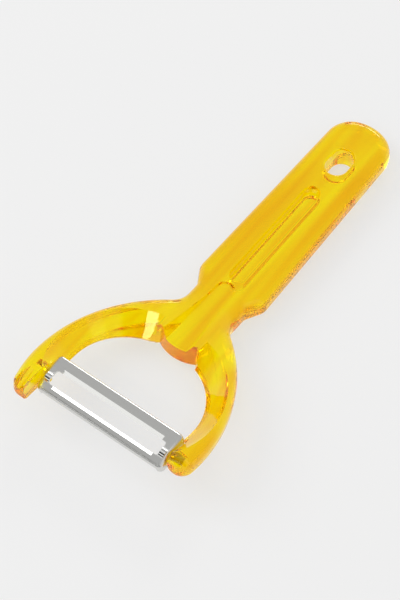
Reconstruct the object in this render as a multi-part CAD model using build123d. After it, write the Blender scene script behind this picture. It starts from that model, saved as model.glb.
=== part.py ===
from build123d import *
import math
import os

# Vegetable peeler. Millimetres, +Z up. The grip lies flat on Z = 0 along Y, its hang hole towards
# +Y. The arms reach towards -Y and rise from the neck. X runs along the blade. Peeling side up.

# Moulding
THICKNESS = 8.8
ROUNDING_SHARE = 0.432
TIP_MARGIN_SHARE = 0.98
GRIP_LENGTH = 84.9
SHOULDER_WIDTH = 25.2
END_WIDTH = 22.8
END_RADIUS = 14.5
END_CORNER_RADIUS = 9.8
SHOULDER_LENGTH = 6.0
SHOULDER_RADIUS = 5.0
NECK_WIDTH = 18.4
NECK_STUB = 1.2
NECK_CORNER_RADIUS = 3.0
NECK_LENGTH = 3.6
BEND_ANGLE = 8.0

# Groove and hang hole
GROOVE_WIDTH = 5.6
GROOVE_DEPTH = 2.3
GROOVE_FRONT = 7.5
GROOVE_LENGTH = 44.9
GROOVE_FLOOR_BEVEL = 0.8
HOLE_WIDTH = 7.6
HOLE_LENGTH = 11.0
HOLE_INSET = 19.5
HOLE_LIP_RADIUS = 0.9

# Yoke, measured forward from the front end of the neck along the arms' plane
ARM_WIDTH = 9.2
POCKET_DEPTH = 2.0
YOKE_WIDEST = 46.4
FRONT_RADIUS = 44.0
FLARE_START = 3.8
FLARE_RADIUS = 6.0
CROTCH_FRONT = 19.2
CROTCH_FLAT = 4.6
TIP_PAST_PIVOT = 4.4
NOSE_LENGTH = 7.1
TIP_ROUND_SHARE = 0.98
LOBE_FRONT = 18.8
LOBE_WIDTH = 13.6
LOBE_RADIUS = 13.0
LOBE_SPLAY = 2.0
SLOPE_BASE = 2.4
SLOPE_ANGLE = 45.0
CHANNEL_REAR = 6.0
CHANNEL_WIDTH = 5.6
CHANNEL_FRONT_WIDTH = 8.0
CHANNEL_DROP = 0.7
CHANNEL_DRAFT = 30.0

# Blade
BLADE_LENGTH = 47.0
BLADE_DEPTH = 12.4
BLADE_FLANGE = 2.4
BLADE_CROWN = 3.2
BLADE_RISE = 1.0
SHEET = 0.8
BEND_RADIUS = 1.0
END_BEND_RADIUS = 1.7
SLOT_END_WEB = 3.0
SLOT_WIDTH = 4.8
SLOT_OFFSET = 0.9
SLOT_CORNER_RADIUS = 0.9
GROUND_INSET = 4.75
RIB_RADIUS = 1.9
RIB_RISE = 0.7
RIB_OFFSET = 1.6
RIB_INSET = 1.2
BEVEL_WIDTH = 1.35
EAR_RADIUS = 2.0
EAR_DROP = 1.6
EAR_FOLD = 1.8
BLADE_TILT = 20.0

# Pivot, sockets and stops
PIVOT_REACH = 50.3
PIVOT_DROP = 0.4
SHANK_DIAMETER = 1.8
JOURNAL_DIAMETER = 2.2
JOURNAL_LENGTH = 3.2
COLLAR_DIAMETER = 3.4
COLLAR_THICKNESS = 0.3
RIVET_DIAMETER = 2.6
RIVET_HEIGHT = 0.6
STOP_RADIUS = 0.6
STOP_OFFSET = 3.0
STOP_LENGTH = 1.5

# Eye remover
SCOOP_RADIUS = 1.6
SCOOP_BACK = 5.0
SCOOP_SLOPE = 24.0
SCOOP_LIFT = 0.8

# Fits
RUNNING_CLEARANCE = 0.05
SIDE_CLEARANCE = 0.2
SOCKET_END_CLEARANCE = 0.3
SWING_CLEARANCE = 0.5
OVERRUN = 1.0

# Tests that pick edges
EDGE_SHARE = 0.99
TOLERANCE = 0.01

os.makedirs("parts", exist_ok=True)

half_thick = THICKNESS / 2
bend = math.radians(BEND_ANGLE)
bend_radius = NECK_LENGTH / bend

# Across the yoke: the blade's ears, the pockets' faces, the arms' inner and outer sides
ear_outer = BLADE_LENGTH / 2
pocket_face = ear_outer + COLLAR_THICKNESS + SIDE_CLEARANCE
inner_half = pocket_face - POCKET_DEPTH
span_half = inner_half + ARM_WIDTH

# Two arcs make the outer outline: the rear one passes the neck's side at the flare
neck_half = NECK_WIDTH / 2
flare_out = span_half - neck_half
flare_run = YOKE_WIDEST - FLARE_START
outer_radius = (flare_out**2 + flare_run**2) / (2 * flare_out)
front_centre = span_half - FRONT_RADIUS
right_reach = PIVOT_REACH + TIP_PAST_PIVOT
left_reach = right_reach + NOSE_LENGTH


def outer_half_width(reach):
    """Half width of the yoke's outer outline forward of where it is widest."""
    return front_centre + math.sqrt(FRONT_RADIUS**2 - (reach - YOKE_WIDEST) ** 2)


def tip_radius(reach):
    """A share of the radius that would round an arm's tip fully, both corners alike."""
    across = inner_half - front_centre
    ahead = reach - YOKE_WIDEST
    total = across - ahead + FRONT_RADIUS
    full = math.sqrt(total**2 + FRONT_RADIUS**2 - across**2 - ahead**2) - total
    return TIP_ROUND_SHARE * full


tips = ((1, right_reach, tip_radius(right_reach)), (-1, left_reach, tip_radius(left_reach)))
rounding = min(ROUNDING_SHARE * THICKNESS, *[TIP_MARGIN_SHARE * radius for _, _, radius in tips])

# The arms' plane: its origin is the middle of the neck's front end
arms_place = Location(
    (0, -bend_radius * math.sin(bend), half_thick + bend_radius * (1 - math.cos(bend))),
    (-BEND_ANGLE, 0, 0),
)


def mirrored(points):
    """The right-hand points of an outline followed by their mirror images, back to front."""
    return points + [(-x, y) for x, y in reversed(points)]


def rounded_plate(outline, corners):
    """A plate about its middle plane: upright corners rounded, then the rims, but not the neck's."""
    plate = extrude(outline, half_thick, both=True)
    for x, y, radius in corners:
        uprights = plate.edges().filter_by(Axis.Z)
        corner = min(uprights, key=lambda e: math.hypot(e.center().X - x, e.center().Y - y))
        plate = fillet(corner, radius)
    rims = [
        e
        for e in plate.edges()
        if abs(e.center().Z) > half_thick * EDGE_SHARE and abs(e.center().Y) > TOLERANCE
    ]
    return fillet(rims, rounding)


# Grip: the end arc runs into a corner arc on each side, which meets the tapered side line
shoulder_half = SHOULDER_WIDTH / 2
shoulder_y = NECK_STUB + SHOULDER_LENGTH
end_centre = GRIP_LENGTH - END_RADIUS
taper = Vector(END_WIDTH / 2 - shoulder_half, end_centre - shoulder_y).normalized()
inward = Vector(-taper.Y, taper.X)
start = Vector(shoulder_half, shoulder_y - end_centre) + inward * END_CORNER_RADIUS
along = start.dot(taper)
apart = start.dot(start) - (END_RADIUS - END_CORNER_RADIUS) ** 2
run = -along + math.sqrt(along**2 - apart)
corner_centre = start + taper * run
side_end = corner_centre - inward * END_CORNER_RADIUS
arc_end = corner_centre.normalized() * END_RADIUS
corner_middle = (side_end + arc_end) / 2 - corner_centre
arc_middle = corner_centre + corner_middle.normalized() * END_CORNER_RADIUS
lift = Vector(0, end_centre)
right_corner = [tuple(v + lift) for v in (side_end, arc_middle, arc_end)]
left_corner = [(-x, y) for x, y, z in reversed(right_corner)]
side_points = [
    left_corner[-1],
    (-shoulder_half, shoulder_y),
    (-neck_half, NECK_STUB),
    (-neck_half, 0),
    (neck_half, 0),
    (neck_half, NECK_STUB),
    (shoulder_half, shoulder_y),
    right_corner[0],
]
grip_outline = make_face(
    Polyline(*side_points)
    + ThreePointArc(*right_corner)
    + ThreePointArc(right_corner[-1], (0, GRIP_LENGTH), left_corner[0])
    + ThreePointArc(*left_corner)
)
grip_corners = []
for side in (1, -1):
    grip_corners.append((side * shoulder_half, shoulder_y, SHOULDER_RADIUS))
    grip_corners.append((side * neck_half, NECK_STUB, NECK_CORNER_RADIUS))
grip = rounded_plate(grip_outline, grip_corners)

groove_y = GROOVE_FRONT + GROOVE_LENGTH / 2
groove = extrude(
    Pos(0, groove_y) * Rot(0, 0, 90) * SlotOverall(GROOVE_LENGTH, GROOVE_WIDTH),
    GROOVE_DEPTH + OVERRUN,
)
groove = chamfer(groove.edges().group_by(Axis.Z)[0], GROOVE_FLOOR_BEVEL)
groove = Pos(0, 0, half_thick - GROOVE_DEPTH) * groove
grip -= groove
grip -= mirror(groove, about=Plane.XY)

hole_y = GRIP_LENGTH - HOLE_INSET
hole = extrude(
    Pos(0, hole_y) * Rot(0, 0, 90) * SlotOverall(HOLE_LENGTH, HOLE_WIDTH),
    half_thick + OVERRUN,
    both=True,
)
grip -= hole
lip = [
    e
    for e in grip.edges()
    if abs(e.center().Y - hole_y) < HOLE_LENGTH
    and abs(e.center().X) < HOLE_WIDTH
    and abs(e.center().Z) > half_thick * EDGE_SHARE
]
grip = fillet(lip, HOLE_LIP_RADIUS)
grip = Pos(0, 0, half_thick) * grip

# Neck
neck_face = Plane.XZ * RectangleRounded(NECK_WIDTH, THICKNESS, rounding)
neck = revolve(
    Pos(0, 0, half_thick) * neck_face,
    Axis((0, 0, half_thick + bend_radius), (1, 0, 0)),
    -BEND_ANGLE,
)

# Yoke, flat, in the arms' plane
yoke_outline = Sketch()
for radius, rear, front in (
    (outer_radius, 0, YOKE_WIDEST),
    (FRONT_RADIUS, YOKE_WIDEST, left_reach),
):
    box = Pos(0, -(rear + front) / 2) * Rectangle(2 * span_half, front - rear)
    right_disc = Pos(span_half - radius, -YOKE_WIDEST) * Circle(radius)
    left_disc = Pos(radius - span_half, -YOKE_WIDEST) * Circle(radius)
    yoke_outline += right_disc & left_disc & box
neck_bar = Pos(0, -CROTCH_FRONT / 2) * Rectangle(NECK_WIDTH, CROTCH_FRONT)
yoke_outline += neck_bar
crotch_radius = inner_half - CROTCH_FLAT / 2
crotch_line = CROTCH_FRONT + crotch_radius
inside_corner = Pos(0, -crotch_line) * SlotOverall(2 * inner_half, 2 * crotch_radius)
below = left_reach + OVERRUN - crotch_line
inside = inside_corner + Pos(0, -crotch_line - below / 2) * Rectangle(2 * inner_half, below)
yoke_outline -= inside
nose_room = Rectangle(2 * span_half, 2 * NOSE_LENGTH)
yoke_outline -= Pos(span_half, -right_reach - NOSE_LENGTH) * nose_room
yoke_corners = [(side * neck_half, -FLARE_START, FLARE_RADIUS) for side in (1, -1)]
for side, reach, radius in tips:
    for x in (outer_half_width(reach), inner_half):
        yoke_corners.append((side * x, -reach, radius))
yoke = rounded_plate(yoke_outline, yoke_corners)

# The tips' inner corners are square, with the same rims
rim_face = RectangleRounded(4 * rounding, THICKNESS, rounding)
for side, reach, radius in tips:
    across = Plane.XZ * Pos(side * (inner_half + 2 * rounding), 0) * rim_face
    ahead = Plane.YZ * Pos(2 * rounding - reach, 0) * rim_face
    corner = Pos(side * (inner_half + radius / 2), radius / 2 - reach) * Box(radius, radius, THICKNESS)
    corner &= extrude(across, left_reach, both=True)
    corner &= extrude(ahead, left_reach, both=True)
    yoke += corner

# The arms' upper inner side slopes down to a thin inner edge
slope_height = THICKNESS - SLOPE_BASE
slope = extrude(inside_corner, slope_height + OVERRUN, taper=-SLOPE_ANGLE)
yoke -= Pos(0, 0, SLOPE_BASE - half_thick) * slope

# Lobe: the crotch is filled to full thickness and cut with an upright round front
lobe_half = LOBE_WIDTH / 2
lobe_corner = LOBE_FRONT - (LOBE_RADIUS - math.sqrt(LOBE_RADIUS**2 - lobe_half**2))
fill_half = lobe_half + LOBE_SPLAY / 2
fill_rear = CROTCH_FRONT - 2 * rounding
fill_front = lobe_corner + LOBE_SPLAY / 2
fill = Pos(0, -(fill_rear + fill_front) / 2) * Rectangle(2 * fill_half, fill_front - fill_rear)
fill += Pos(0, -(fill_rear + LOBE_FRONT) / 2) * Rectangle(LOBE_WIDTH, LOBE_FRONT - fill_rear)
yoke += extrude(fill, half_thick, both=True)
notch_far = CROTCH_FRONT + 2 * LOBE_SPLAY
splay_half = lobe_half + LOBE_SPLAY
notch_side = [
    (lobe_half, -lobe_corner),
    (splay_half, -lobe_corner - LOBE_SPLAY),
    (splay_half, -notch_far),
]
notch_points = mirrored(notch_side)
notch = make_face(
    Polyline(*notch_points)
    + ThreePointArc(notch_points[-1], (0, -LOBE_FRONT), notch_points[0])
)
yoke -= extrude(notch, half_thick + OVERRUN, both=True)

# Blade pockets, pivot sockets and stops on the arms' inner faces
blade_half_depth = BLADE_DEPTH / 2
swing = math.hypot(blade_half_depth, BLADE_CROWN - BLADE_RISE) + SWING_CLEARANCE
pocket_depth = POCKET_DEPTH + OVERRUN
pocket_x = pocket_face - pocket_depth / 2
socket_end = ear_outer + COLLAR_THICKNESS + JOURNAL_LENGTH + SOCKET_END_CLEARANCE
socket_length = socket_end - pocket_face + OVERRUN
pocket_front = left_reach - PIVOT_REACH + OVERRUN
for side in (1, -1):
    pocket = Box(pocket_depth, swing + pocket_front, THICKNESS + 2 * OVERRUN)
    yoke -= Pos(side * pocket_x, -PIVOT_REACH + (swing - pocket_front) / 2) * pocket
    socket = Cylinder(JOURNAL_DIAMETER / 2 + RUNNING_CLEARANCE, socket_length)
    socket_x = side * (socket_end - socket_length / 2)
    yoke -= Pos(socket_x, -PIVOT_REACH, -PIVOT_DROP) * Rot(0, 90, 0) * socket
    stop_root = pocket_face + OVERRUN
    stop = Cylinder(STOP_RADIUS, STOP_LENGTH + OVERRUN)
    stop_x = side * (stop_root - (STOP_LENGTH + OVERRUN) / 2)
    yoke += Pos(stop_x, -PIVOT_REACH, -PIVOT_DROP - STOP_OFFSET) * Rot(0, 90, 0) * stop

# Eye remover: a sloping scoop in the longer left tip
scoop_x = -(outer_half_width(left_reach) + pocket_face) / 2
scoop_length = 2 * left_reach
scoop = Cylinder(SCOOP_RADIUS, scoop_length)
scoop_middle = (scoop_x, -left_reach + SCOOP_BACK, half_thick + SCOOP_LIFT)
scoop_tool = Location(scoop_middle, (90 + SCOOP_SLOPE, 0, 0)) * scoop
scoop_keep = Pos(scoop_x, -left_reach) * Box(
    2 * ARM_WIDTH, 2 * (left_reach - PIVOT_REACH), 2 * THICKNESS
)
yoke -= scoop_tool & scoop_keep

handle = grip + neck + arms_place * yoke

# Channel over the neck, in line with the groove, which runs out through the lobe's front
channel_floor = THICKNESS - CHANNEL_DROP
channel_end = -(NECK_LENGTH + CROTCH_FRONT + LOBE_SPLAY)
channel_side = [
    (CHANNEL_FRONT_WIDTH / 2, channel_end),
    (CHANNEL_WIDTH / 2, CHANNEL_REAR - CHANNEL_WIDTH / 2),
]
channel_points = mirrored(channel_side)
channel_arc = ThreePointArc(channel_points[1], (0, CHANNEL_REAR), channel_points[2])
channel_lines = Polyline(channel_points[2], channel_points[3], channel_points[0], channel_points[1])
channel = extrude(make_face(channel_lines + channel_arc), half_thick, taper=-CHANNEL_DRAFT)
handle -= Pos(0, 0, channel_floor) * channel

# Blade: a pressed tray with turned-down edges, folded ears and a ground slot
crown = BLADE_CROWN
shoulder = crown - BLADE_RISE
foot = shoulder - BLADE_FLANGE


def tray(inset, base, long_radius, end_radius):
    """The arched, ribbed block whose skin is the blade's outer or inner face."""
    half = blade_half_depth - inset
    points = [(-half, base), (-half, shoulder - inset), (0, crown - inset), (half, shoulder - inset)]
    face = make_face(Polyline(*points, (half, base), close=True))
    block = extrude(Plane.YZ * face, BLADE_LENGTH / 2 - inset, both=True)
    long_edges = [
        e
        for e in block.edges().filter_by(Axis.X)
        if abs(abs(e.center().Y) - half) < TOLERANCE and e.center().Z > base + inset
    ]
    block = fillet(long_edges, long_radius)
    limit = base + (shoulder - base) / 2
    end_edges = [
        e
        for e in block.edges()
        if abs(abs(e.center().X) - (BLADE_LENGTH / 2 - inset)) < TOLERANCE
        and e.center().Z > limit
    ]
    block = fillet(end_edges, end_radius)
    rib = Cylinder(RIB_RADIUS - inset, BLADE_LENGTH - 2 * (RIB_INSET + inset))
    return block + Pos(0, -RIB_OFFSET, rib_height) * Rot(0, 90, 0) * rib


rib_height = crown - BLADE_RISE * RIB_OFFSET / blade_half_depth + RIB_RISE - RIB_RADIUS
ear_base = -EAR_RADIUS
outer = tray(0, ear_base - OVERRUN, BEND_RADIUS, END_BEND_RADIUS)
inner = tray(SHEET, ear_base - 2 * OVERRUN, BEND_RADIUS - SHEET / 2, END_BEND_RADIUS - SHEET)
blade = outer - inner
trim = Rectangle(2 * BLADE_DEPTH, 2 * BLADE_DEPTH)
ear_trim = Pos(0, -EAR_DROP - BLADE_DEPTH) * trim - Circle(EAR_RADIUS)
blade -= extrude(Plane.YZ * ear_trim, BLADE_LENGTH, both=True)
flange_trim = Pos(0, foot - BLADE_DEPTH) * trim
blade -= extrude(Plane.YZ * flange_trim, BLADE_LENGTH / 2 - EAR_FOLD, both=True)
blade -= Rot(0, 90, 0) * Cylinder(SHANK_DIAMETER / 2, 2 * BLADE_LENGTH)
slot = RectangleRounded(BLADE_LENGTH - 2 * SLOT_END_WEB, SLOT_WIDTH, SLOT_CORNER_RADIUS)
blade -= extrude(Pos(0, -SLOT_OFFSET) * slot, 2 * BLADE_CROWN)
slot_half = SLOT_WIDTH / 2
bevel_base = crown - SHEET - BLADE_RISE * slot_half / blade_half_depth
bevel_slope = BEVEL_WIDTH / SHEET
bevel_top = slot_half + bevel_slope * 2 * SHEET
bevel_points = mirrored([(slot_half, bevel_base), (bevel_top, bevel_base + 2 * SHEET)])
bevel_face = Pos(-SLOT_OFFSET, 0) * make_face(Polyline(*bevel_points, close=True))
blade -= extrude(Plane.YZ * bevel_face, BLADE_LENGTH / 2 - GROUND_INSET, both=True)

# Pivot studs, along +X from the ear's inner face
ear_inner = ear_outer - SHEET
journal_end = ear_outer + COLLAR_THICKNESS + JOURNAL_LENGTH
stud_steps = [
    (ear_inner - RIVET_HEIGHT, RIVET_DIAMETER / 2, ear_inner),
    (ear_inner, SHANK_DIAMETER / 2, ear_outer),
    (ear_outer, COLLAR_DIAMETER / 2, ear_outer + COLLAR_THICKNESS),
    (ear_outer + COLLAR_THICKNESS, JOURNAL_DIAMETER / 2, journal_end),
]
profile = [(stud_steps[0][0], 0)]
for start, radius, stop in stud_steps:
    profile += [(start, radius), (stop, radius)]
profile.append((journal_end, 0))
right_stud = revolve(make_face(Polyline(*profile, close=True)), Axis.X)
left_stud = mirror(right_stud, about=Plane.YZ)

# Blade and studs in their rest pose, then everything centred over its own footprint
blade_place = arms_place * Pos(0, -PIVOT_REACH, -PIVOT_DROP) * Rot(BLADE_TILT, 0, 0)
blade = blade_place * blade
right_stud = blade_place * right_stud
left_stud = blade_place * left_stud
footprint = handle.bounding_box()
centre = Pos(0, -(footprint.min.Y + footprint.max.Y) / 2)

for name, shape in (
    ("handle_yoke", handle),
    ("blade", blade),
    ("left_pivot_stud", left_stud),
    ("right_pivot_stud", right_stud),
):
    placed = centre * shape
    export_step(placed, "parts/" + name + ".step")
    box = placed.bounding_box()
    print(name, [round(v, 3) for v in (*box.min, *box.max)])
pivot = centre * blade_place
print("pivot", pivot.position, "hole y", hole_y + centre.position.Y)
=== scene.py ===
"""Looks of a Y-shaped vegetable peeler: a clear yellow moulded handle, a ground steel blade and
its two pivot studs."""
import math

import bmesh
import bpy
from mathutils import Matrix, Vector


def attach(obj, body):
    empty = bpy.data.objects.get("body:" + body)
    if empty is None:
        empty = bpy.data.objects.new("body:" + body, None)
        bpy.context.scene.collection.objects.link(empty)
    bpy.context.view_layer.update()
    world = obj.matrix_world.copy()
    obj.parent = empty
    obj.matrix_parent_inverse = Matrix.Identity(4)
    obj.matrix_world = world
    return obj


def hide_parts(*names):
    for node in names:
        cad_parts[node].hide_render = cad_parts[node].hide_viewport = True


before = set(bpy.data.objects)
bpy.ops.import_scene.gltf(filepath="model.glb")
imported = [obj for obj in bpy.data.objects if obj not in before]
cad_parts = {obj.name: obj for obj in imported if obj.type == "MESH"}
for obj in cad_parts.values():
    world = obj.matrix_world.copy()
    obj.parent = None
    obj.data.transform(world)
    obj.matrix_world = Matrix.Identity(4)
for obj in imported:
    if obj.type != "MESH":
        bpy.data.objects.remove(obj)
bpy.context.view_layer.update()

bl_info = {
    "name": "Clear Y Peeler",
    "version": (1, 0, 0),
    "blender": (4, 5, 0),
    "location": "View3D > Sidebar > Peeler",
    "description": "Finishes the peeler's handle, blade and pivot studs and sets its stage",
    "category": "Object",
}

MM = 0.001

# Corners of a CAD mesh that are nearer than this are welded into one.
MERGE_DISTANCE = 0.002 * MM

# Which way the blade's ground bevels and flat strips face at rest, front and rear. A face is one
# of them where the cosine of the angle between the two directions is above SLOPE_MATCH.
GROUND_SLOPES = ((0, 0.32, 0.95), (0, -0.68, 0.74))
STRIP_SLOPES = ((0, -0.36, 0.93), (0, -0.05, 1.0))
SLOPE_MATCH = 0.9995

# Where the ribs lie in the blade's end webs, by distance from its middle and by Y, and how far
# upwards their faces point at least.
RIB_ALONG = (18.8 * MM, 22.3 * MM)
RIB_ACROSS = (-67.2 * MM, -63.3 * MM)
RIB_UPWARD = 0.2

# The blade's second and third material slots; the first is the rolled strip.
GROUND_SLOT = 1
PRESSED_SLOT = 2

# How far the pattern of flow marks is moved across the handle, which chooses where pale ones
# fall, and the noise values at which a mark is deepest and palest.
PALE_MARK = 8 * MM
FLOW_CONTRAST = (0.35, 0.65)

# Rolling lines and grinding marks: their width as a share of their length, and the depth of the
# steel's relief at full strength.
GRAIN_STRETCH = 0.02
GRAIN_DEPTH = 0.004 * MM

# How far roughness varies to either side of its value, on lined steel and on the burnished ribs.
ROUGHNESS_SPREAD = 0.04
BURNISH_SPREAD = 0.02

# Turning rings: how unevenly they run, and how strong their relief is. A Wave texture's bands are
# WAVE_PITCH apart at a scale of 1.
RING_WOBBLE = 0.4
RING_RELIEF = 0.2
WAVE_PITCH = 2 * math.pi / 20

# Sockets that share a name with others of their node: a Mix node's colours, a Math node's values
# and a Mix Shader's shaders.
MIX_A, MIX_B, MIX_RESULT = 6, 7, 2
FIRST, SECOND = 0, 1
SHADER_A, SHADER_B = 1, 2

# The light tent seen in steel and gloss: the Y of a direction, from -1 at the front, beyond the
# blade, to 1 at the back, beyond the grip, and the brightness there as a share of tent_level. Two
# stops of one brightness bound a panel, the first and last panels go on to the ends, and from
# panel to panel the light fades evenly. The dark ones lie low in front and between the front
# panel and the top ones.
TENT_PANELS = (
    (-0.89, 0.02),
    (-0.86, 1.00),
    (-0.74, 1.00),
    (-0.69, 0.02),
    (-0.44, 0.02),
    (-0.36, 0.52),
    (-0.18, 0.52),
    (-0.12, 0.90),
    (0.08, 0.90),
    (0.14, 0.41),
    (0.62, 0.41),
    (0.70, 0.66),
)

# Softboxes, all aimed at the middle of the object's underside: name, place, width and height in
# metres, power in watts, outline, and the kind of ray that doesn't meet the lamp, if any, so that
# it lights the object without an image of itself in the plastic.
SOFTBOXES = (
    ("front_softbox", (0.28, -1.34, 1.46), (0.42, 0.18), 1.9, "ELLIPSE", None),
    ("back_softbox", (-0.67, 1.68, 0.86), (0.8, 0.36), 4.6, "RECTANGLE", "visible_transmission"),
    ("left_softbox", (-1.60, -0.40, 1.10), (1.2, 0.9), 11.0, "RECTANGLE", "visible_glossy"),
)

# The camera's sensor, in millimetres, and the nearest that it sees, in metres.
SENSOR_WIDTH = 36.0
CLIP_START = 0.01


class HandleFinish(bpy.types.PropertyGroup):
    """Clear tinted plastic of the handle."""

    tint: bpy.props.StringProperty(
        name="Tint",
        description="sRGB colour of the plastic's absorption",
        default="#FFFE00",
    )
    skin: bpy.props.StringProperty(
        name="Skin tint",
        description="sRGB colour that white light keeps through the skin, where it is palest",
        default="#FFF13C",
    )
    deep_skin: bpy.props.StringProperty(
        name="Deep skin tint",
        description="The same colour along the deepest flow marks",
        default="#F8BC06",
    )
    flow_width: bpy.props.FloatProperty(
        name="Flow mark width",
        description="Distance across the moulding from one flow mark to the next",
        default=5.0 * MM,
        unit="LENGTH",
    )
    flow_length: bpy.props.FloatProperty(
        name="Flow mark length",
        description="Length of a flow mark along the handle",
        default=70.0 * MM,
        unit="LENGTH",
    )
    ripple: bpy.props.FloatProperty(
        name="Ripple",
        description="Depth of the sink marks that make the polished surface a little wavy",
        default=0.03 * MM,
        unit="LENGTH",
    )
    absorption: bpy.props.FloatProperty(
        name="Absorption",
        description="Absorption density of the tint, per metre",
        default=700.0,
        min=0.0,
    )
    index: bpy.props.FloatProperty(
        name="Refractive index",
        description="Index of refraction of styrene-acrylonitrile",
        default=1.56,
        min=1.0,
    )
    sheen: bpy.props.StringProperty(
        name="Sheen colour",
        description="sRGB colour of the polished surface's reflection, outside and inside",
        default="#FFFFB0",
    )
    clearness: bpy.props.FloatProperty(
        name="Clearness",
        description="Share of the light that goes straight through; the skin scatters the rest",
        default=0.97,
        min=0.5,
        max=1.0,
    )
    gloss_roughness: bpy.props.FloatProperty(
        name="Roughness",
        description="Roughness of the polished mould surface",
        default=0.03,
        min=0.0,
        max=1.0,
    )
    crease_angle: bpy.props.FloatProperty(
        name="Crease angle",
        description="Edges sharper than this stay sharp",
        default=math.radians(28.0),
        subtype="ANGLE",
    )


class BladeFinish(bpy.types.PropertyGroup):
    """Pressed and ground stainless strip of the blade."""

    steel: bpy.props.StringProperty(
        name="Steel colour",
        description="sRGB colour of the stainless steel's reflection",
        default="#DDDDDA",
    )
    strip_roughness: bpy.props.FloatProperty(
        name="Strip roughness",
        description="Roughness of the cold-rolled strip",
        default=0.3,
        min=0.0,
        max=1.0,
    )
    ground_roughness: bpy.props.FloatProperty(
        name="Ground roughness",
        description="Roughness of the ground bevels beside the slot",
        default=0.12,
        min=0.0,
        max=1.0,
    )
    rib_roughness: bpy.props.FloatProperty(
        name="Rib roughness",
        description="Roughness of the ribs, burnished by the press tool",
        default=0.07,
        min=0.0,
        max=1.0,
    )
    burnish_spacing: bpy.props.FloatProperty(
        name="Burnish spacing",
        description="Size of the soft streaks that the press tool leaves on the ribs",
        default=1.5 * MM,
        unit="LENGTH",
    )
    grinding_pitch: bpy.props.FloatProperty(
        name="Grinding pitch",
        description="Distance between the grinding marks that cross the bevels",
        default=0.25 * MM,
        unit="LENGTH",
    )
    grain_spacing: bpy.props.FloatProperty(
        name="Grain spacing",
        description="Distance between the rolling lines along the blade",
        default=0.12 * MM,
        unit="LENGTH",
    )
    crease_angle: bpy.props.FloatProperty(
        name="Crease angle",
        description="Edges sharper than this stay sharp",
        default=math.radians(32.0),
        subtype="ANGLE",
    )


class StudFinish(bpy.types.PropertyGroup):
    """Turned steel studs of the pivot."""

    steel: bpy.props.StringProperty(
        name="Stud colour",
        description="sRGB colour of the turned steel's reflection",
        default="#BDBDBB",
    )
    turned_roughness: bpy.props.FloatProperty(
        name="Turned roughness",
        description="Roughness of the turned surface",
        default=0.22,
        min=0.0,
        max=1.0,
    )
    ring_pitch: bpy.props.FloatProperty(
        name="Ring pitch",
        description="Distance along the stud from one turning ring to the next, about 0.63 mm",
        default=0.2 * math.pi * MM,
        unit="LENGTH",
    )
    crease_angle: bpy.props.FloatProperty(
        name="Crease angle",
        description="Edges sharper than this stay sharp",
        default=math.radians(30.0),
        subtype="ANGLE",
    )


class StageSetup(bpy.types.PropertyGroup):
    """Floor, light and camera of the picture."""

    floor_colour: bpy.props.StringProperty(
        name="Floor colour",
        description="sRGB colour of the pale floor",
        default="#F1F1F1",
    )
    ground_colour: bpy.props.StringProperty(
        name="Ground colour",
        description="sRGB colour that the open table shows",
        default="#F2F2F2",
    )
    ground_share: bpy.props.FloatProperty(
        name="Ground share",
        description="How much of what is seen of the table is the even ground colour",
        default=0.65,
        min=0.0,
        max=1.0,
    )
    floor_side: bpy.props.FloatProperty(
        name="Floor side",
        description="Side of the square floor",
        default=4.0,
        unit="LENGTH",
    )
    floor_gap: bpy.props.FloatProperty(
        name="Floor gap",
        description="Air between the grip's underside and the table",
        default=0.3 * MM,
        unit="LENGTH",
    )
    # Painted light: the table and the room seen through the plastic are painted an even colour
    # paler than the ground colour, a painted glow that stands in for light gathered under the
    # plastic.
    painted_through_colour: bpy.props.StringProperty(
        name="Colour through plastic",
        description="sRGB colour that the table and the room show through the clear plastic",
        default="#F8F8F8",
    )
    # Painted light: this larger share of the paler painted colour through the plastic paints out
    # most of the table's shadow under the handle.
    painted_through_share: bpy.props.FloatProperty(
        name="Share through plastic",
        description="How much of what the plastic shows of the table is that even colour",
        default=0.9,
        min=0.0,
        max=1.0,
    )
    room_level: bpy.props.FloatProperty(
        name="Room level",
        description="Brightness of the soft light from all round",
        default=0.72,
        min=0.0,
    )
    tent_level: bpy.props.FloatProperty(
        name="Tent level",
        description="Brightness of the light tent's brightest panel, as polished surfaces see it",
        default=1.15,
        min=0.0,
    )
    light_bounces: bpy.props.IntProperty(
        name="Light bounces",
        description="How often light may bounce inside the clear moulding before it is given up",
        default=32,
    )
    lens: bpy.props.FloatProperty(
        name="Lens",
        description="Focal length in millimetres, for a sensor as wide as the picture's long side",
        default=120.0,
    )
    distance: bpy.props.FloatProperty(
        name="Camera distance",
        description="Distance from the camera to the point it looks at",
        default=620.0 * MM,
        unit="LENGTH",
    )
    azimuth: bpy.props.FloatProperty(
        name="Azimuth",
        description="Camera's turn about the vertical, 0 looks along the handle",
        default=math.radians(36.97),
        subtype="ANGLE",
    )
    elevation: bpy.props.FloatProperty(
        name="Elevation",
        description="Camera's height above the horizon",
        default=math.radians(56.69),
        subtype="ANGLE",
    )
    target: bpy.props.FloatVectorProperty(
        name="Target",
        description="Point that the picture's centre looks at",
        default=(-5.6 * MM, -11.982 * MM, 4.4 * MM),
        subtype="TRANSLATION",
    )


def linear(code):
    """Linear RGBA of an sRGB colour written as #RRGGBB, by the curve of the sRGB standard."""
    values = []
    for start in (1, 3, 5):
        share = int(code[start:start + 2], 16) / 255
        values.append(share / 12.92 if share <= 0.04045 else ((share + 0.055) / 1.055) ** 2.4)
    return (*values, 1.0)


def add_node(material, kind, settings=None, links=None):
    """Adds one node. Settings are its own or its inputs', by name or number, and links map an
    input to the output socket that feeds it."""
    node = material.node_tree.nodes.new(kind)
    for name, value in (settings or {}).items():
        if isinstance(name, str) and hasattr(node, name):
            setattr(node, name, value)
        else:
            node.inputs[name].default_value = value
    for name, socket in (links or {}).items():
        material.node_tree.links.new(socket, node.inputs[name])
    return node


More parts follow.
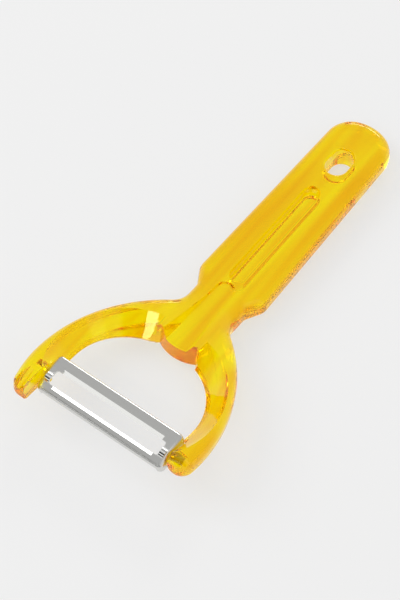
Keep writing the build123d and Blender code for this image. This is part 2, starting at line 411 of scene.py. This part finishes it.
def new_material(name):
    """An empty node material with its output node."""
    material = bpy.data.materials.new(name)
    material.use_nodes = True
    material.node_tree.nodes.clear()
    return material, add_node(material, "ShaderNodeOutputMaterial")


def connect(material, source, target):
    """Links two sockets."""
    material.node_tree.links.new(source, target)


def dressed_copy(node_name, piece_name, body, crease_angle):
    """A welded, smooth-shaded copy of a CAD node that stands for it and rides on its body."""
    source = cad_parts[node_name]
    mesh = source.data.copy()
    mesh.name = piece_name
    piece = bpy.data.objects.new(piece_name, mesh)
    bpy.context.scene.collection.objects.link(piece)
    shape = bmesh.new()
    shape.from_mesh(mesh)
    bmesh.ops.remove_doubles(shape, verts=shape.verts, dist=MERGE_DISTANCE)
    bmesh.ops.dissolve_degenerate(shape, edges=shape.edges, dist=MERGE_DISTANCE)
    for face in shape.faces:
        face.smooth = True
    for edge in shape.edges:
        edge.smooth = len(edge.link_faces) == 2 and edge.calc_face_angle() < crease_angle
    shape.to_mesh(mesh)
    shape.free()
    weighted = piece.modifiers.new("face_weighted_normals", "WEIGHTED_NORMAL")
    weighted.mode = "FACE_AREA"
    weighted.keep_sharp = True
    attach(piece, body)
    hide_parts(node_name)
    return piece


def set_material(piece, material):
    """Gives a piece one material."""
    piece.data.materials.clear()
    piece.data.materials.append(material)


def clear_plastic(finish):
    """Styrene-acrylonitrile, tinted yellow and moulded in a polished tool: glass-clear, deeper in
    colour where light has further to go through it, with soft flow marks along the handle. Part of
    the colour is in the skin, so that thin walls are yellow too."""
    material, output = new_material("clear_yellow_san")
    place = add_node(material, "ShaderNodeTexCoord")
    across = 1 / finish.flow_width
    flow = add_node(material, "ShaderNodeMapping", {
        "Location": (-PALE_MARK * across, 0, 0),
        "Scale": (across, 1 / finish.flow_length, across),
    }, {"Vector": place.outputs["Object"]})
    marks = add_node(material, "ShaderNodeTexNoise", {
        "Scale": 1.0,
        "Detail": 1.0,
    }, {"Vector": flow.outputs["Vector"]})
    skin = add_node(material, "ShaderNodeValToRGB", links={"Fac": marks.outputs["Fac"]})
    deep, pale = skin.color_ramp.elements
    deep.position, deep.color = FLOW_CONTRAST[0], linear(finish.deep_skin)
    pale.position, pale.color = FLOW_CONTRAST[1], linear(finish.skin)
    waves = add_node(material, "ShaderNodeBump", {
        "Strength": 1.0,
        "Distance": finish.ripple,
    }, {"Height": marks.outputs["Fac"]})
    shader = add_node(material, "ShaderNodeBsdfPrincipled", {
        "Roughness": finish.gloss_roughness,
        "IOR": finish.index,
        "Transmission Weight": finish.clearness,
        "Specular Tint": linear(finish.sheen),
    }, {"Base Color": skin.outputs["Color"], "Normal": waves.outputs["Normal"]})
    absorption = add_node(material, "ShaderNodeVolumeAbsorption", {
        "Color": linear(finish.tint),
        "Density": finish.absorption,
    })
    connect(material, shader.outputs["BSDF"], output.inputs["Surface"])
    connect(material, absorption.outputs["Volume"], output.inputs["Volume"])
    return material


def lined_steel(name, steel, roughness, scale, detail, relief):
    """Stainless steel with fine parallel lines: they vary its gloss and stand out a little."""
    material, output = new_material(name)
    place = add_node(material, "ShaderNodeTexCoord")
    stretch = add_node(material, "ShaderNodeMapping", {
        "Scale": scale,
    }, {"Vector": place.outputs["Object"]})
    lines = add_node(material, "ShaderNodeTexNoise", {
        "Scale": 1.0,
        "Detail": detail,
    }, {"Vector": stretch.outputs["Vector"]})
    gloss = add_node(material, "ShaderNodeMapRange", {
        "To Min": roughness - ROUGHNESS_SPREAD,
        "To Max": roughness + ROUGHNESS_SPREAD,
    }, {"Value": lines.outputs["Fac"]})
    bump = add_node(material, "ShaderNodeBump", {
        "Strength": relief,
        "Distance": GRAIN_DEPTH,
    }, {"Height": lines.outputs["Fac"]})
    shader = add_node(material, "ShaderNodeBsdfPrincipled", {
        "Base Color": linear(steel),
        "Metallic": 1.0,
    }, {"Roughness": gloss.outputs["Result"], "Normal": bump.outputs["Normal"]})
    connect(material, shader.outputs["BSDF"], output.inputs["Surface"])
    return material


def rolled_steel(finish):
    """Cold-rolled stainless strip: soft reflections, stretched across fine rolling lines along the
    blade. Real lines are about 0.02 mm apart; these are coarser, so that a close view has them."""
    across = 1 / finish.grain_spacing
    return lined_steel(
        "cold_rolled_stainless", finish.steel, finish.strip_roughness,
        scale=(across * GRAIN_STRETCH, across, across), detail=2.0, relief=0.15)


def ground_steel(finish):
    """Stainless steel ground on a fine wheel: brighter and sharper than the rolled strip, with
    marks that cross the bevel. Real marks are 0.02 mm apart; these are drawn coarser, so that they
    can be seen."""
    along = 1 / finish.grinding_pitch
    return lined_steel(
        "wheel_ground_stainless", finish.steel, finish.ground_roughness,
        scale=(along, along * GRAIN_STRETCH, along * GRAIN_STRETCH), detail=3.0, relief=0.04)


def pressed_steel(finish):
    """Stainless strip burnished by the press tool: almost a mirror, with soft streaks in its
    gloss."""
    material, output = new_material("press_burnished_stainless")
    place = add_node(material, "ShaderNodeTexCoord")
    streaks = add_node(material, "ShaderNodeTexNoise", {
        "Scale": 1 / finish.burnish_spacing,
        "Detail": 1.0,
    }, {"Vector": place.outputs["Object"]})
    roughness = add_node(material, "ShaderNodeMapRange", {
        "To Min": finish.rib_roughness - BURNISH_SPREAD,
        "To Max": finish.rib_roughness + BURNISH_SPREAD,
    }, {"Value": streaks.outputs["Fac"]})
    shader = add_node(material, "ShaderNodeBsdfPrincipled", {
        "Base Color": linear(finish.steel),
        "Metallic": 1.0,
    }, {"Roughness": roughness.outputs["Result"]})
    connect(material, shader.outputs["BSDF"], output.inputs["Surface"])
    return material


def turned_steel(finish):
    """Stainless wire turned on a lathe: fine rings round the stud's axis. Real rings are about
    0.05 mm apart; these are drawn coarser, so that a close view has them."""
    material, output = new_material("turned_stainless")
    place = add_node(material, "ShaderNodeTexCoord")
    rings = add_node(material, "ShaderNodeTexWave", {
        "wave_type": "BANDS",
        "bands_direction": "X",
        "Scale": WAVE_PITCH / finish.ring_pitch,
        "Distortion": RING_WOBBLE,
    }, {"Vector": place.outputs["Object"]})
    bump = add_node(material, "ShaderNodeBump", {
        "Strength": RING_RELIEF,
        "Distance": GRAIN_DEPTH,
    }, {"Height": rings.outputs["Fac"]})
    shader = add_node(material, "ShaderNodeBsdfPrincipled", {
        "Base Color": linear(finish.steel),
        "Metallic": 1.0,
        "Roughness": finish.turned_roughness,
    }, {"Normal": bump.outputs["Normal"]})
    connect(material, shader.outputs["BSDF"], output.inputs["Surface"])
    return material


def points_along(face, slopes):
    """Whether a face points in one of these directions."""
    return any(face.normal.dot(Vector(slope).normalized()) > SLOPE_MATCH for slope in slopes)


def mark_bright_faces(piece):
    """Gives the ground bevels beside the slot and the ribs at its ends their own materials."""
    for face in piece.data.polygons:
        along, back = abs(face.center.x), face.center.y
        end_web = RIB_ALONG[0] < along < RIB_ALONG[1] and RIB_ACROSS[0] < back < RIB_ACROSS[1]
        upward = face.normal.z > RIB_UPWARD
        if points_along(face, GROUND_SLOPES):
            face.material_index = GROUND_SLOT
        elif end_web and upward and not points_along(face, STRIP_SLOPES):
            face.material_index = PRESSED_SLOT


class PEELER_OT_handle(bpy.types.Operator):
    """Dress the moulded handle in clear yellow plastic"""

    bl_idname = "peeler.handle"
    bl_label = "Moulded handle"

    def execute(self, context):
        finish = context.scene.peeler_handle
        piece = dressed_copy(
            "handle_yoke", "moulded_handle", "handle", finish.crease_angle)
        set_material(piece, clear_plastic(finish))
        return {"FINISHED"}


class PEELER_OT_blade(bpy.types.Operator):
    """Dress the pressed and ground blade in stainless steel"""

    bl_idname = "peeler.blade"
    bl_label = "Blade"

    def execute(self, context):
        finish = context.scene.peeler_blade
        piece = dressed_copy(
            "blade", "ground_blade", "blade", finish.crease_angle)
        set_material(piece, rolled_steel(finish))
        piece.data.materials.append(ground_steel(finish))
        piece.data.materials.append(pressed_steel(finish))
        mark_bright_faces(piece)
        return {"FINISHED"}


class PEELER_OT_studs(bpy.types.Operator):
    """Dress both pivot studs in turned stainless steel"""

    bl_idname = "peeler.studs"
    bl_label = "Pivot studs"

    def execute(self, context):
        finish = context.scene.peeler_studs
        steel = turned_steel(finish)
        for side in ("left", "right"):
            piece = dressed_copy(
                f"{side}_pivot_stud", f"{side}_stud", "blade",
                finish.crease_angle)
            set_material(piece, steel)
        return {"FINISHED"}


def table_material(setup):
    """Matt white table. What is seen of it is mostly the picture's even ground colour, with a share
    of its own light and shadow. Through the plastic it shows painted light: an even colour a little
    paler, at a larger share, which stands in for the light that gathers there and paints out most
    of its shadow."""
    material, output = new_material("pale_table")
    rays = add_node(material, "ShaderNodeLightPath")
    diffuse = add_node(material, "ShaderNodeBsdfDiffuse", {"Color": linear(setup.floor_colour)})
    # Painted light: transmission rays get the paler painted colour through the plastic in place of
    # the ground colour.
    ground_or_painted_light = add_node(material, "ShaderNodeMix", {
        "data_type": "RGBA",
        MIX_A: linear(setup.ground_colour),
        MIX_B: linear(setup.painted_through_colour),
    }, {"Factor": rays.outputs["Is Transmission Ray"]})
    ground = add_node(material, "ShaderNodeEmission", links={"Color": ground_or_painted_light.outputs[MIX_RESULT]})
    open_view = add_node(material, "ShaderNodeMath", {
        "operation": "MAXIMUM",
    }, {FIRST: rays.outputs["Is Camera Ray"], SECOND: rays.outputs["Is Glossy Ray"]})
    open_share = add_node(material, "ShaderNodeMath", {
        "operation": "MULTIPLY",
        SECOND: setup.ground_share,
    }, {FIRST: open_view.outputs["Value"]})
    # Painted light: through the plastic the painted colour takes the larger share, which paints out
    # most of the shadow under the handle.
    painted_through_share = add_node(material, "ShaderNodeMath", {
        "operation": "MULTIPLY",
        SECOND: setup.painted_through_share,
    }, {FIRST: rays.outputs["Is Transmission Ray"]})
    share = add_node(material, "ShaderNodeMath", {
        "operation": "MAXIMUM",
    }, {FIRST: open_share.outputs["Value"], SECOND: painted_through_share.outputs["Value"]})
    mix = add_node(material, "ShaderNodeMixShader", links={
        "Fac": share.outputs["Value"],
        SHADER_A: diffuse.outputs["BSDF"],
        SHADER_B: ground.outputs["Emission"],
    })
    connect(material, mix.outputs["Shader"], output.inputs["Surface"])
    return material


def add_table(setup):
    """A square table top just under the grip."""
    shape = bmesh.new()
    bmesh.ops.create_grid(shape, x_segments=1, y_segments=1, size=setup.floor_side / 2)
    mesh = bpy.data.meshes.new("table_top")
    shape.to_mesh(mesh)
    shape.free()
    mesh.transform(Matrix.Translation((0, 0, -setup.floor_gap)))
    floor = bpy.data.objects.new("table_top", mesh)
    bpy.context.scene.collection.objects.link(floor)
    set_material(floor, table_material(setup))


def make_world(setup):
    """A light tent of long panels that run from left to right, which is what steel and gloss
    reflect. The camera meets an even pale colour instead, and what it sees through the plastic
    meets painted light: an even colour a little paler still."""
    world = bpy.data.worlds.new("studio")
    world.use_nodes = True
    place = add_node(world, "ShaderNodeTexCoord")
    direction = add_node(world, "ShaderNodeSeparateXYZ", links={
        "Vector": place.outputs["Generated"],
    })
    rays = add_node(world, "ShaderNodeLightPath")
    backward = add_node(world, "ShaderNodeMapRange", {
        "From Min": -1.0,
    }, {"Value": direction.outputs["Y"]})
    panels = add_node(world, "ShaderNodeValToRGB", links={"Fac": backward.outputs["Result"]})
    stops = panels.color_ramp.elements
    while len(stops) < len(TENT_PANELS):
        stops.new(0.5)  # anywhere: every stop gets its place below
    for stop, (y, level) in zip(stops, TENT_PANELS):
        stop.position = (y + 1) / 2
        stop.color = (level, level, level, 1.0)
    tent = add_node(world, "ShaderNodeMath", {
        "operation": "MULTIPLY",
        SECOND: setup.tent_level,
    }, {FIRST: panels.outputs["Color"]})
    room = add_node(world, "ShaderNodeMix", {
        "data_type": "RGBA",
        MIX_A: (setup.room_level, setup.room_level, setup.room_level, 1.0),
    }, {"Factor": rays.outputs["Is Glossy Ray"], MIX_B: tent.outputs["Value"]})
    open_view = add_node(world, "ShaderNodeMix", {
        "data_type": "RGBA",
        MIX_B: linear(setup.ground_colour),
    }, {"Factor": rays.outputs["Is Camera Ray"], MIX_A: room.outputs[MIX_RESULT]})
    # Painted light: what the plastic shows of the room is the paler painted colour.
    background_or_painted_light = add_node(world, "ShaderNodeMix", {
        "data_type": "RGBA",
        MIX_B: linear(setup.painted_through_colour),
    }, {"Factor": rays.outputs["Is Transmission Ray"], MIX_A: open_view.outputs[MIX_RESULT]})
    background = world.node_tree.nodes["Background"]
    connect(world, background_or_painted_light.outputs[MIX_RESULT], background.inputs["Color"])
    bpy.context.scene.world = world


def add_softbox(name, place, size, watts, outline, hidden_from):
    """An area lamp that points at the middle of the object's underside."""
    data = bpy.data.lights.new(name, "AREA")
    data.shape = outline
    data.size, data.size_y = size
    data.energy = watts
    lamp = bpy.data.objects.new(name, data)
    bpy.context.scene.collection.objects.link(lamp)
    lamp.location = place
    lamp.rotation_mode = "QUATERNION"
    lamp.rotation_quaternion = (-Vector(place)).to_track_quat("-Z", "Y")
    if hidden_from:
        setattr(lamp, hidden_from, False)


def add_camera(setup):
    """The picture's camera, which looks at the target from its azimuth and elevation."""
    data = bpy.data.cameras.new("camera")
    data.sensor_width = SENSOR_WIDTH
    data.lens = setup.lens
    data.clip_start = CLIP_START
    camera = bpy.data.objects.new("camera", data)
    bpy.context.scene.collection.objects.link(camera)
    back = Vector((
        math.sin(setup.azimuth) * math.cos(setup.elevation),
        -math.cos(setup.azimuth) * math.cos(setup.elevation),
        math.sin(setup.elevation),
    ))
    camera.location = Vector(setup.target) + back * setup.distance
    camera.rotation_mode = "QUATERNION"
    camera.rotation_quaternion = (-back).to_track_quat("-Z", "Y")
    bpy.context.scene.camera = camera


class PEELER_OT_stage(bpy.types.Operator):
    """Set the table, the softboxes and the camera"""

    bl_idname = "peeler.stage"
    bl_label = "Stage"

    def execute(self, context):
        setup = context.scene.peeler_stage
        add_table(setup)
        make_world(setup)
        for softbox in SOFTBOXES:
            add_softbox(*softbox)
        add_camera(setup)
        context.scene.view_settings.view_transform = "Standard"
        context.scene.cycles.max_bounces = setup.light_bounces
        context.scene.cycles.glossy_bounces = setup.light_bounces
        context.scene.cycles.transmission_bounces = setup.light_bounces
        return {"FINISHED"}


class PEELER_PT_finish(bpy.types.Panel):
    """Lists the peeler's pieces and their settings"""

    bl_idname = "PEELER_PT_finish"
    bl_label = "Clear Y Peeler"
    bl_space_type = "VIEW_3D"
    bl_region_type = "UI"
    bl_category = "Peeler"

    def draw(self, context):
        for operator, group_name, _ in STEPS:
            column = self.layout.column(align=True)
            column.operator(operator.bl_idname)
            settings = getattr(context.scene, group_name)
            for name in settings.bl_rna.properties.keys():
                if name not in ("rna_type", "name"):
                    column.prop(settings, name)


# Each operator with its settings' name in the scene and their class, in the order of the work.
STEPS = (
    (PEELER_OT_handle, "peeler_handle", HandleFinish),
    (PEELER_OT_blade, "peeler_blade", BladeFinish),
    (PEELER_OT_studs, "peeler_studs", StudFinish),
    (PEELER_OT_stage, "peeler_stage", StageSetup),
)


def register():
    """Registers the settings, the operators and the panel."""
    for operator, group_name, group in STEPS:
        bpy.utils.register_class(group)
        setattr(bpy.types.Scene, group_name, bpy.props.PointerProperty(type=group))
        bpy.utils.register_class(operator)
    bpy.utils.register_class(PEELER_PT_finish)


def unregister():
    """Takes them out again."""
    bpy.utils.unregister_class(PEELER_PT_finish)
    for operator, group_name, group in reversed(STEPS):
        bpy.utils.unregister_class(operator)
        delattr(bpy.types.Scene, group_name)
        bpy.utils.unregister_class(group)


def main():
    """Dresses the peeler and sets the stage."""
    register()
    bpy.ops.peeler.handle()
    bpy.ops.peeler.blade()
    bpy.ops.peeler.studs()
    bpy.ops.peeler.stage()


if __name__ == "__main__":
    main()
